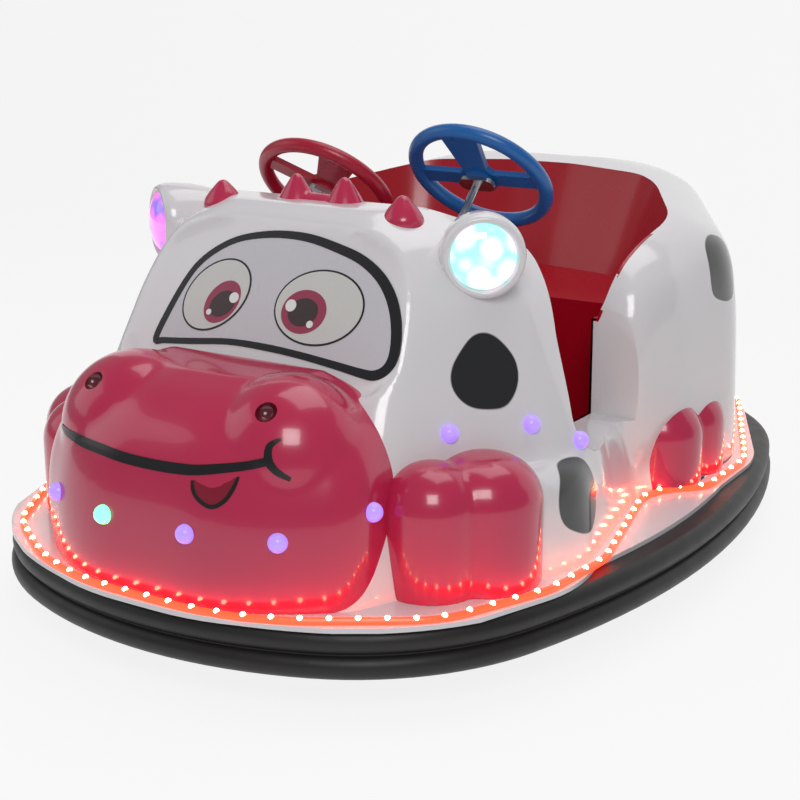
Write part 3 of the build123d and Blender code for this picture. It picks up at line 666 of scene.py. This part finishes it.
for where, toes, top, crown in FEET:
    for name, side in (("left", 1), ("right", -1)):
        parts = []
        for x, y, radius in toes:
            profile = [(0, SOLE), (radius * MM, SOLE)]
            for step in range(13):
                angle = math.radians(90 * step / 12)
                reach = radius - crown + crown * math.cos(angle)
                height = top - crown + crown * math.sin(angle)
                profile.append((reach * MM, height * MM))
            profile.append((0, top * MM))
            parts.append(turned("toe", Vector((side * x * MM, y * MM, 0)), UP, profile))
        foot = melted(joined(f"foot_{where}_{name}", parts), 0.005, 6)
        foot.data.materials.append(pink_paint)
        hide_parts(f"hoof_{where}_{name}")
        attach(foot, "root")

# ---- Crest ----------------------------------------------------------------------
# Four blunt spikes and a low ridge, moulded as one pink piece and bonded on
# the crown of the head.
SPIKE_TAPER = ((0.0, 1.0), (0.2, 0.88), (0.45, 0.68), (0.7, 0.44), (0.88, 0.27), (0.97, 0.14))
SPIKES = ((179, -361, 705, 34), (48, -330, 721, 36))
crest_parts = []
for x, y, tip, base in SPIKES:
    for side in (1, -1):
        foot_level = 650 if x > 100 else 662
        profile = [(0, foot_level * MM), (base * MM, foot_level * MM)]
        for share, width in SPIKE_TAPER:
            profile.append((width * base * MM, (668 + share * (tip - 668)) * MM))
        profile.append((0, tip * MM))
        crest_parts.append(turned("spike", Vector((side * x * MM, y * MM, 0)), UP, profile, 32))
RIDGE = (
    (0, 0), (0.014, 0.004), (0.021, 0.016), (0.023, 0.04),
    (0.023, 0.11), (0.021, 0.134), (0.014, 0.146), (0, 0.15),
)
ridge = turned("ridge", Vector((-0.075, -0.330, 0.668)), Vector((1, 0, 0)), RIDGE, 32)
crest_parts.append(ridge)
crest = melted(joined("crest_moulding", crest_parts), 0.003, 5)
crest.data.materials.append(pink_paint)
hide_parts("head_crest")
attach(crest, "root")

# ---- Lamps ----------------------------------------------------------------------
# Each lamp is a white round pod moulded on the head's upper corner, with a
# clear domed lens pressed into its mouth over lit coloured diodes.
POD_PLACE = Vector((0.324, -0.358, 0.619))
POD_TURN = math.radians(35)
POD_RADIUS = 0.068
POD_LENGTH = 0.15
LENS_RADIUS = 0.052
lens_paints = {}
for name, inner, outer, strength in (
    ("left", (1.0, 0.88, 1.0), (0.30, 0.88, 0.76), 1.0),
    ("right", (1.0, 0.10, 0.75), (0.16, 0.02, 1.0), 1.1),
):
    lens_paints[name], tree, shader = new_material(f"lamp_lens_{name}")
    shader.inputs["Base Color"].default_value = (0.35, 0.35, 0.4, 1)
    where = tree.nodes.new("ShaderNodeTexCoord")
    cells = tree.nodes.new("ShaderNodeTexVoronoi")
    cells.inputs["Scale"].default_value = 34.0
    tree.links.new(where.outputs["Object"], cells.inputs["Vector"])
    sharpen = tree.nodes.new("ShaderNodeMapRange")
    sharpen.inputs["From Min"].default_value = 0.4
    sharpen.inputs["From Max"].default_value = 0.75
    tree.links.new(cells.outputs["Distance"], sharpen.inputs["Value"])
    tint = tree.nodes.new("ShaderNodeMix")
    tint.data_type = "RGBA"
    tint.inputs["A"].default_value = (*inner, 1)
    tint.inputs["B"].default_value = (*outer, 1)
    tree.links.new(sharpen.outputs["Result"], tint.inputs["Factor"])
    tree.links.new(tint.outputs["Result"], shader.inputs["Emission Color"])
    shader.inputs["Emission Strength"].default_value = strength
    surface(tree, shader, 30.0, 0.03, 0.09)
    shader.inputs["Coat Weight"].default_value = 1.0
pod_paint, tree, shader = new_material("pod_gel_coat")
shader.inputs["Base Color"].default_value = (0.80, 0.775, 0.79, 1)
surface(tree, shader, 9.0, 0.14, 0.22)
shader.inputs["Coat Weight"].default_value = 0.5
for name, side in (("left", 1), ("right", -1)):
    look = Vector((side * math.sin(POD_TURN), -math.cos(POD_TURN), 0))
    centre = Vector((side * POD_PLACE.x, POD_PLACE.y, POD_PLACE.z))
    profile = [
        (0, -0.010), (LENS_RADIUS + 0.001, -0.010), (LENS_RADIUS + 0.002, 0.002),
        (LENS_RADIUS + 0.005, 0.005),
        (POD_RADIUS - 0.006, 0.003), (POD_RADIUS - 0.002, -0.004), (POD_RADIUS, -0.015),
    ]
    for step in range(1, 11):
        angle = math.radians(90 * step / 10)
        profile.append((POD_RADIUS * math.cos(angle), -0.015 - (POD_LENGTH - 0.015) * math.sin(angle)))
    profile[-1] = (0, -POD_LENGTH)
    pod = turned(f"pod_{name}", centre, look, profile)
    pod.data.materials.append(pod_paint)
    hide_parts(f"lamp_pod_{name}")
    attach(pod, "root")
    profile = [(0, -0.009), (LENS_RADIUS, -0.009), (LENS_RADIUS, -0.005)]
    for step in range(1, 10):
        angle = math.radians(90 * step / 10)
        profile.append((LENS_RADIUS * math.cos(angle), -0.005 + 0.022 * math.sin(angle)))
    profile.append((0, 0.017))
    lens = turned(f"lens_{name}", centre, look, profile)
    lens.data.materials.append(lens_paints[name])
    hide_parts(f"lamp_lens_{name}")
    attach(lens, "root")

# ---- Painted face ------------------------------------------------------------------
# The face is cut vinyl film on the recessed panel: a black line around it and two
# round eyes. The film is drawn as thin plates laid over one another.
def painted(name, colour, low=0.2, high=0.34):
    """A plain paint or film with the moulded parts' uneven gloss."""
    paint, tree, shader = new_material(name)
    shader.inputs["Base Color"].default_value = (*colour, 1)
    surface(tree, shader, 12.0, low, high)
    return paint


ink = painted("film_black", (0.010, 0.009, 0.011))
film_panel = painted("film_panel", (0.63, 0.615, 0.65))
film_eye = painted("film_eye", (0.66, 0.655, 0.63))
film_iris = painted("film_iris", (0.34, 0.045, 0.095))
film_pupil = painted("film_pupil", (0.055, 0.034, 0.036))
film_glint = painted("film_glint", (0.85, 0.85, 0.85))
FILM_SINK = 0.002
PANEL_X = Vector((1, 0, 0))


def on_panel(x, s, out=0.0):
    """A place on the panel's floor, from millimetres across and up."""
    return PANEL_FOOT + PANEL_X * (x * MM) + PANEL_UP * (s * MM) + PANEL_OUT * out


def shown(made, paint):
    """Gives a finished extra its paint and lets it ride with the body."""
    made.data.materials.clear()
    made.data.materials.append(paint)
    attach(made, "root")
    return made


def plate(name, paint, outline, lift):
    """A thin flat plate on the panel."""
    middle = (lift - FILM_SINK) / 2
    points = [on_panel(x, s, middle) for x, s in outline]
    return shown(prism(name, points, PANEL_OUT * (lift + FILM_SINK)), paint)


def ellipse(x, s, long, short, angle, grow=0.0, count=48):
    """Outline of a leaning ellipse, in millimetres on the panel."""
    turn = math.radians(angle)
    return [
        (
            x + (long + grow) * math.cos(a) * math.cos(turn) - (short + grow) * math.sin(a) * math.sin(turn),
            s + (long + grow) * math.cos(a) * math.sin(turn) + (short + grow) * math.sin(a) * math.cos(turn),
        )
        for a in (2 * math.pi * k / count for k in range(count))
    ]


def eased(points, closed, steps=5):
    """A smooth line through every point of a rough one."""
    count = len(points)
    line = []
    for index in range(count if closed else count - 1):
        around = [index - 1, index, index + 1, index + 2]
        around = [k % count if closed else max(0, min(count - 1, k)) for k in around]
        a, b, c, d = (points[k] for k in around)
        for step in range(steps):
            t = step / steps
            bend = (2 * a - 5 * b + 4 * c - d) * t * t
            line.append(0.5 * ((2 * b) + (c - a) * t + bend + (3 * b - a - 3 * c + d) * t**3))
    if not closed:
        line.append(points[-1])
    return line


def brushed(name, paint, path, halves, skin, lift, closed=False):
    """A painted line of changing width, laid on a skin or on the flat panel."""
    line = eased([Vector(p) for p in path], closed)
    widths = eased([Vector((h, 0, 0)) for h in halves], closed)
    made = bmesh.new()
    rows = []
    count = len(line)
    for index, point in enumerate(line):
        before = line[index - 1] if closed or index else line[0]
        after = line[(index + 1) % count] if closed or index < count - 1 else line[-1]
        normal = PANEL_OUT if skin is None else skin.find_nearest(point)[1]
        side = (after - before).cross(normal).normalized() * widths[index].x
        row = []
        for edge in (point + side, point, point - side):
            place, out = (edge, PANEL_OUT) if skin is None else skin.find_nearest(edge)[:2]
            row.append((made.verts.new(place + out * lift), made.verts.new(place - out * FILM_SINK)))
        rows.append(row)
    pairs = list(zip(rows, rows[1:])) + ([(rows[-1], rows[0])] if closed else [])
    for near, far in pairs:
        for k in (0, 1):
            made.faces.new((near[k][0], near[k + 1][0], far[k + 1][0], far[k][0]))
            made.faces.new((near[k][1], far[k][1], far[k + 1][1], near[k + 1][1]))
        for k in (0, 2):
            made.faces.new((near[k][0], far[k][0], far[k][1], near[k][1]))
    if not closed:
        for row in (rows[0], rows[-1]):
            made.faces.new([row[0][0], row[1][0], row[2][0], row[2][1], row[1][1], row[0][1]])
    bmesh.ops.recalc_face_normals(made, faces=made.faces)
    return shown(linked(name, made), paint)


FRAME_LINE = (
    # x, s and half width of the black line around the face
    (-199, 5, 6), (-188, 57, 6), (-170, 111, 5.5), (-151, 144, 5.5), (-121, 171, 5.5),
    (-85, 190, 5.5), (-39, 201, 6), (5, 205, 6.5), (52, 203, 7), (103, 193, 7.5),
    (155, 178, 8), (198, 153, 8.5), (229, 119, 9), (248, 79, 9), (256, 38, 8.5),
    (250, 13, 8.5), (232, 1, 8), (208, 1, 7), (157, 7, 6), (88, 14, 5.5),
    (20, 18, 5.5), (-51, 18, 5), (-122, 10, 5), (-180, 4, 5),
)
plate("face_film", film_panel, [(p[0], p[1]) for p in FRAME_LINE], 0.0012)
frame_path = [on_panel(x, s) for x, s, half in FRAME_LINE]
frame_halves = [half * MM for x, s, half in FRAME_LINE]
brushed("face_line", ink, frame_path, frame_halves, None, 0.0018, True)
EYES = (
    # white (x, s, long, short, lean), iris, pupil, glints (x, s, radius)
    ((-101, 92, 69, 54, 45), (-85, 81, 39.5, 30, 57), (-83, 78, 26, 20, 40), ((-63, 90, 9), (-105, 61, 5))),
    ((101, 93, 82, 61, 3), (76, 83, 42, 36, 3), (75, 82, 27.5, 23, 10), ((50, 90, 10), (94, 64, 6))),
)
for number, (white, iris, pupil, glints) in enumerate(EYES):
    plate(f"eye_line_{number}", ink, ellipse(*white, grow=1.6), 0.0018)
    plate(f"eye_white_{number}", film_eye, ellipse(*white, grow=-1.6), 0.0024)
    plate(f"eye_iris_{number}", film_iris, ellipse(*iris), 0.0030)
    plate(f"eye_pupil_{number}", film_pupil, ellipse(*pupil), 0.0036)
    for k, (x, s, radius) in enumerate(glints):
        plate(f"eye_glint_{number}_{k}", film_glint, ellipse(x, s, radius, radius, 0, count=24), 0.0042)

# ---- Painted mouth -----------------------------------------------------------------
# The smile and the tongue are painted lines on the muzzle, the tongue filled a
# darker red.
tongue_red = painted("tongue_red", (0.26, 0.008, 0.028))
MOUTH = (
    # x, y, z and half width
    (-0.222, -0.730, 0.357, 0.003), (-0.196, -0.738, 0.352, 0.0065), (-0.150, -0.758, 0.350, 0.008),
    (-0.104, -0.771, 0.350, 0.008), (-0.050, -0.776, 0.346, 0.008), (0.0, -0.777, 0.345, 0.008),
    (0.045, -0.776, 0.346, 0.008), (0.091, -0.773, 0.350, 0.0075), (0.150, -0.754, 0.360, 0.0065),
    (0.189, -0.740, 0.371, 0.006),
)
CHEEK = (
    (0.203, -0.727, 0.404, 0.002), (0.190, -0.737, 0.393, 0.005), (0.190, -0.738, 0.372, 0.006),
    (0.200, -0.733, 0.357, 0.005), (0.218, -0.726, 0.346, 0.003),
)
TONGUE = (
    (0.083, -0.783, 0.336, 0.002), (0.087, -0.784, 0.321, 0.003), (0.099, -0.786, 0.309, 0.003),
    (0.119, -0.783, 0.302, 0.003), (0.137, -0.776, 0.312, 0.003), (0.146, -0.765, 0.329, 0.003),
    (0.150, -0.757, 0.345, 0.002),
)
rim = eased([Vector(p[:3]) for p in TONGUE], False)
middle = sum(rim, Vector()) / len(rim)
made = bmesh.new()
levels = []
for lift in (0.0006, -FILM_SINK):
    loop = []
    for share in (1.0, 0.66, 0.33):
        row = []
        for point in rim:
            place, out = muzzle_skin.find_nearest(middle.lerp(point, share))[:2]
            row.append(made.verts.new(place + out * lift))
        loop.append(row)
    place, out = muzzle_skin.find_nearest(middle)[:2]
    loop.append([made.verts.new(place + out * lift)] * len(rim))
    levels.append(loop)
count = len(rim)
for loop in levels:
    for near, far in zip(loop, loop[1:]):
        for k in range(count):
            after = (k + 1) % count
            corners = [near[k], near[after], far[after], far[k]]
            corners = [v for i, v in enumerate(corners) if v not in corners[:i]]
            made.faces.new(corners)
for k in range(count):
    after = (k + 1) % count
    made.faces.new((levels[0][0][k], levels[1][0][k], levels[1][0][after], levels[0][0][after]))
bmesh.ops.recalc_face_normals(made, faces=made.faces)
shown(linked("tongue_film", made), tongue_red)
for name, row in (("mouth_line", MOUTH), ("cheek_line", CHEEK), ("tongue_line", TONGUE)):
    brushed(name, ink, [p[:3] for p in row], [p[3] for p in row], muzzle_skin, 0.0012)

# ---- Light strip ---------------------------------------------------------------------
# A red silicone light strip is glued to the deck around the foot of the body,
# with a lit diode at every step along it.
FOOT_LINE = (
    (178, -813, 420), (425, -655, 150), (507, -470, 160), (524, -310, 220),
    (446, 30, 110), (530, 112, 60), (532, 300, 200), (348, 760, 150),
)
STRIP_LEVEL = 0.1445
DIODE_LEVEL = 0.008
DIODE_PITCH = 0.042
DIODE_RADIUS = 0.0046
PLATE_THICK = 0.0085
right_line = [(-x, y, r) for x, y, r in FOOT_LINE]
right_line[1] = (-388, -672, 170)
strip_path = [Vector((p.x * MM, p.y * MM, STRIP_LEVEL)) for p in filleted(list(FOOT_LINE) + right_line[::-1])]
DECK_FRONT = ((150, -822, 420), (428, -662, 150), (508, -470, 160), (508, -345, 0))
deck_outline = [Vector((p.x * MM, p.y * MM, 0.1405)) for p in
                filleted(list(DECK_FRONT) + [(-x, y, r) for x, y, r in reversed(DECK_FRONT)])]
deck_plate = prism("deck_plate", deck_outline, UP * PLATE_THICK)
WHEEL_GAP = ((0.19, -0.715), (0.19, -0.36), (-0.19, -0.36), (-0.19, -0.715))
carved(deck_plate, prism("wheel_gap", [Vector((x, y, 0.14)) for x, y in WHEEL_GAP], UP * 0.1))
for polygon in deck_plate.data.polygons:
    polygon.use_smooth = False
shown(deck_plate, pod_paint)
made = bmesh.new()
rows = []
for index, point in enumerate(strip_path):
    side = (strip_path[(index + 1) % len(strip_path)] - strip_path[index - 1]).cross(UP).normalized()
    rows.append([made.verts.new(point + side * a + UP * b) for a, b in
                 ((-0.005, 0), (-0.005, 0.006), (-0.003, 0.009), (0.003, 0.009), (0.005, 0.006), (0.005, 0))])
for near, far in zip(rows, rows[1:] + rows[:1]):
    for k in range(6):
        after = (k + 1) % 6
        made.faces.new((near[k], near[after], far[after], far[k]))
bmesh.ops.recalc_face_normals(made, faces=made.faces)
strip = linked("strip_tube", made)
strip_paint, tree, shader = new_material("strip_glow")
shader.inputs["Base Color"].default_value = (0.7, 0.02, 0.01, 1)
surface(tree, shader, 20.0, 0.2, 0.4)
shader.inputs["Emission Color"].default_value = (1.0, 0.03, 0.01, 1)
shader.inputs["Emission Strength"].default_value = 5.0
strip.data.materials.append(strip_paint)
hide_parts("light_strip")
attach(strip, "root")

diode_paint, tree, shader = new_material("diode_glow")
shader.inputs["Base Color"].default_value = (1.0, 0.7, 0.4, 1)
surface(tree, shader, 20.0, 0.2, 0.4)
shader.inputs["Emission Color"].default_value = (1.0, 0.62, 0.34, 1)
shader.inputs["Emission Strength"].default_value = 14.0
rows_of_beads = bpy.data.node_groups.new("beads_along_line", "GeometryNodeTree")
rows_of_beads.interface.new_socket(name="Geometry", in_out="INPUT", socket_type="NodeSocketGeometry")
for label, kind in (("Pitch", "Float"), ("Size", "Float"), ("Paint", "Material")):
    rows_of_beads.interface.new_socket(name=label, in_out="INPUT", socket_type=f"NodeSocket{kind}")
rows_of_beads.interface.new_socket(name="Geometry", in_out="OUTPUT", socket_type="NodeSocketGeometry")
inlet = rows_of_beads.nodes.new("NodeGroupInput")
outlet = rows_of_beads.nodes.new("NodeGroupOutput")
as_curve = rows_of_beads.nodes.new("GeometryNodeMeshToCurve")
spaced = rows_of_beads.nodes.new("GeometryNodeResampleCurve")
spaced.mode = "LENGTH"
bead = rows_of_beads.nodes.new("GeometryNodeMeshUVSphere")
bead.inputs["Segments"].default_value = 16
bead.inputs["Rings"].default_value = 8
set_out = rows_of_beads.nodes.new("GeometryNodeInstanceOnPoints")
real = rows_of_beads.nodes.new("GeometryNodeRealizeInstances")
coat = rows_of_beads.nodes.new("GeometryNodeSetMaterial")
rows_of_beads.links.new(inlet.outputs["Geometry"], as_curve.inputs["Mesh"])
rows_of_beads.links.new(as_curve.outputs["Curve"], spaced.inputs["Curve"])
rows_of_beads.links.new(inlet.outputs["Pitch"], spaced.inputs["Length"])
rows_of_beads.links.new(inlet.outputs["Size"], bead.inputs["Radius"])
rows_of_beads.links.new(spaced.outputs["Curve"], set_out.inputs["Points"])
rows_of_beads.links.new(bead.outputs["Mesh"], set_out.inputs["Instance"])
rows_of_beads.links.new(set_out.outputs["Instances"], real.inputs["Geometry"])
rows_of_beads.links.new(real.outputs["Geometry"], coat.inputs["Geometry"])
rows_of_beads.links.new(inlet.outputs["Paint"], coat.inputs["Material"])
rows_of_beads.links.new(coat.outputs["Geometry"], outlet.inputs["Geometry"])
mesh = bpy.data.meshes.new("strip_diodes")
count = len(strip_path)
mesh.from_pydata([p + UP * DIODE_LEVEL for p in strip_path], [(k, (k + 1) % count) for k in range(count)], [])
diodes = link_object("strip_diodes", mesh)
spread_out = diodes.modifiers.new("beads", "NODES")
spread_out.node_group = rows_of_beads
tree_items = rows_of_beads.interface.items_tree
sockets = {item.name: item.identifier for item in tree_items if item.in_out == "INPUT"}
spread_out[sockets["Pitch"]] = DIODE_PITCH
spread_out[sockets["Size"]] = DIODE_RADIUS
spread_out[sockets["Paint"]] = diode_paint
baked(diodes)
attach(diodes, "root")

# ---- Point lamps ---------------------------------------------------------------------
# Small translucent domes snap into holes around the muzzle, head and tail. Each
# holds one coloured diode.
DOMES = (
    ((79, -796, 257), (0.16, -0.98, 0.12)), ((213, -753, 256), (0.38, -0.92, 0.11)),
    ((305, -644, 287), (0.99, -0.12, 0.09)), ((333, -477, 368), (0.85, -0.41, 0.33)),
    ((403, -343, 360), (0.85, -0.41, 0.33)), ((453, -263, 322), (0.88, -0.28, 0.38)),
    ((487, 308, 352), (0.96, 0.21, 0.18)),
)
DOME_RADIUS = 0.015
DOME_SINK = 0.004
dome_paints = {}
for name, colour, strength in (("lilac", (0.36, 0.20, 1.0), 0.75), ("green", (0.05, 1.0, 0.22), 3.0)):
    dome_paints[name], tree, shader = new_material(f"dome_{name}")
    shader.inputs["Base Color"].default_value = (0.42, 0.32, 0.8, 1)
    surface(tree, shader, 30.0, 0.12, 0.3)
    shader.inputs["Emission Color"].default_value = (*colour, 1)
    shader.inputs["Emission Strength"].default_value = strength
skins = [muzzle_skin, BVHTree.FromObject(shell, bpy.context.evaluated_depsgraph_get())]
bunches = {"lilac": [], "green": []}
for number, (place, look) in enumerate(DOMES):
    for side in (1, -1):
        start = Vector((side * place[0] * MM, place[1] * MM, place[2] * MM))
        nearest = min((skin.find_nearest(start) for skin in skins), key=lambda hit: hit[3])
        profile = [(0, -DOME_SINK), (DOME_RADIUS, -DOME_SINK)]
        for step in range(7):
            angle = math.radians(90 * step / 6)
            profile.append((DOME_RADIUS * math.cos(angle), DOME_RADIUS * math.sin(angle)))
        profile[-1] = (0, DOME_RADIUS)
        finish = "green" if number == 0 and side == -1 else "lilac"
        bunches[finish].append(turned("dome", nearest[0], nearest[1], profile, 24))
for finish, parts in bunches.items():
    domes = joined(f"lamp_domes_{finish}", parts)
    for polygon in domes.data.polygons:
        polygon.use_smooth = True
    domes.data.materials.clear()
    domes.data.materials.append(dome_paints[finish])
    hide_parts("point_lamps")
    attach(domes, "root")

# ---- Plain parts -----------------------------------------------------------------
# Rubber ring, painted steel chassis, turned hubs and tyres, moulded steering
# wheels on plated columns, and the plain motor and battery cases.
PLAIN = {
    "rubber_black": ((0.011, 0.009, 0.0085), 0.38, 0.55, 0, 30.0),
    "steel_grey": ((0.16, 0.17, 0.18), 0.35, 0.5, 0, 40.0),
    "bright_steel": ((0.6, 0.6, 0.61), 0.2, 0.32, 1, 60.0),
    "body_white": ((0.80, 0.775, 0.79), 0.14, 0.24, 0, 7.0),
    "body_pink": (PINK, 0.16, 0.3, 0, 8.0),
    "tub_red": ((0.38, 0.004, 0.022), 0.2, 0.34, 0, 6.0),
    "lens_clear": ((0.9, 0.9, 0.95), 0.05, 0.1, 0, 9.0),
    "wheel_blue": ((0.012, 0.13, 0.42), 0.22, 0.36, 0, 30.0),
    "wheel_red": ((0.44, 0.01, 0.035), 0.22, 0.36, 0, 30.0),
    "tyre_black": ((0.02, 0.02, 0.02), 0.55, 0.75, 0, 60.0),
    "rim_white": ((0.5, 0.5, 0.5), 0.4, 0.55, 0, 40.0),
    "motor_black": ((0.03, 0.03, 0.03), 0.35, 0.5, 0, 50.0),
    "battery_grey": ((0.1, 0.1, 0.11), 0.45, 0.6, 0, 50.0),
    "strip_red": ((0.9, 0.05, 0.02), 0.2, 0.4, 0, 40.0),
    "dome_lilac": ((0.5, 0.35, 0.9), 0.15, 0.3, 0, 40.0),
}
slots = {s["node"]: s["material_slot"] for s in frame["record"]["subparts"]}
paints = {}
for key, (colour, low, high, metal, scale) in PLAIN.items():
    paints[key], tree, shader = new_material(key)
    shader.inputs["Base Color"].default_value = (*colour, 1)
    shader.inputs["Metallic"].default_value = metal
    surface(tree, shader, scale, low, high, 0.0004 if "black" in key else 0.0)
for node, made in nodes.items():
    made.data.materials.clear()
    made.data.materials.append(paints[slots[node]])
